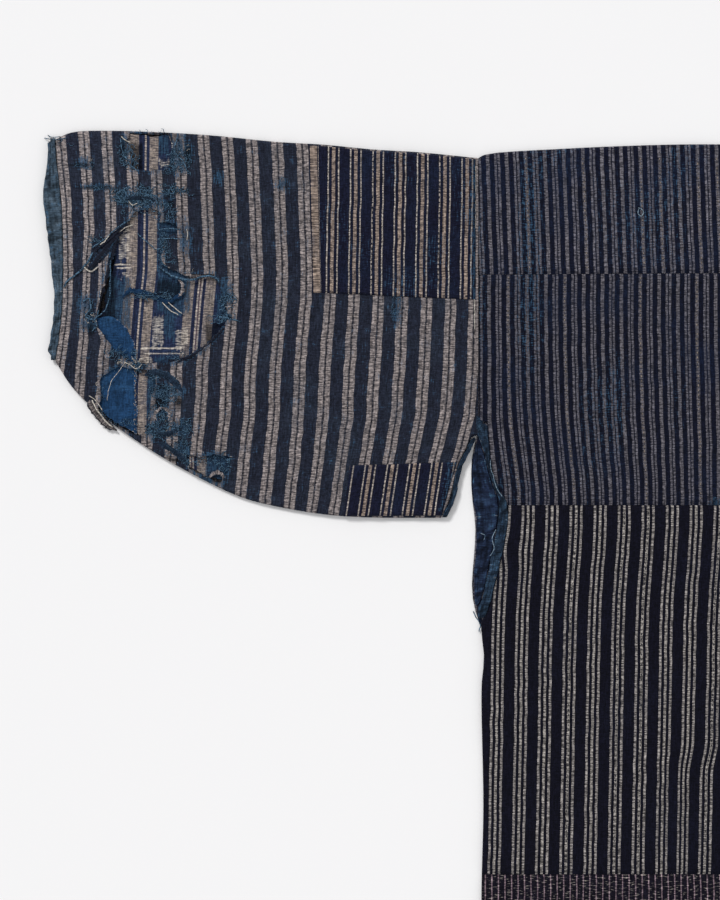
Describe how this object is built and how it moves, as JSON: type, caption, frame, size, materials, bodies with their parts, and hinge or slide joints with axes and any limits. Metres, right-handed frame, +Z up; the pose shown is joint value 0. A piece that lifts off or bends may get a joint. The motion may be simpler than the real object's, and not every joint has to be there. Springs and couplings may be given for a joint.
{
  "type": "patched boro coat",
  "caption": "Kimono-shaped coat of pieced striped cotton, patched and worn through at one sleeve, laid flat with its back up.",
  "frame": {"origin": "on the surface the coat lies on, under the middle of its outline", "axes": "+X across the back towards the plain sleeve, +Y from the hem to the shoulders, +Z up out of the back"},
  "size_m": [1.3498, 1.185, 0.0069],
  "materials": {
    "paired_stripe": "matt hand-woven cotton, paired taupe stripes on charcoal",
    "dotted_stripe": "matt hand-woven cotton, dotted beige stripes between white lines on navy",
    "fine_stripe": "matt hand-woven cotton, fine grey stripes on indigo",
    "triple_stripe": "matt hand-woven cotton, triple cream stripes on dark navy",
    "pin_stripe": "matt hand-woven cotton, pinkish hairlines on purple navy",
    "kasuri": "matt cotton with resist-dyed blocks and taupe bands",
    "indigo": "matt plain indigo cotton",
    "indigo_binding": "matt puckered indigo cotton"
  },
  "bodies": {
    "root": {"sleeve_left": "paired_stripe", "sleeve_right": "paired_stripe", "cuff_band_left": "indigo_binding", "cuff_band_right": "indigo_binding", "furi_band_left": "indigo_binding", "furi_band_right": "indigo_binding", "shoulder_left": "fine_stripe", "shoulder_right": "fine_stripe", "back_upper_left": "fine_stripe", "back_upper_right": "fine_stripe", "back_waist_left": "triple_stripe", "back_waist_right": "triple_stripe", "back_skirt_left": "pin_stripe", "back_skirt_right": "pin_stripe", "front_left": "fine_stripe", "front_right": "fine_stripe", "opening_binding_left": "indigo_binding", "opening_binding_right": "indigo_binding", "opening_facing_left": "indigo", "opening_facing_right": "indigo", "collar_left": "indigo_binding", "collar_right": "indigo_binding", "mend_kasuri": "kasuri", "mend_indigo": "indigo", "sleeve_patch_upper": "dotted_stripe", "sleeve_patch_lower": "dotted_stripe"}
  },
  "joints": []
}
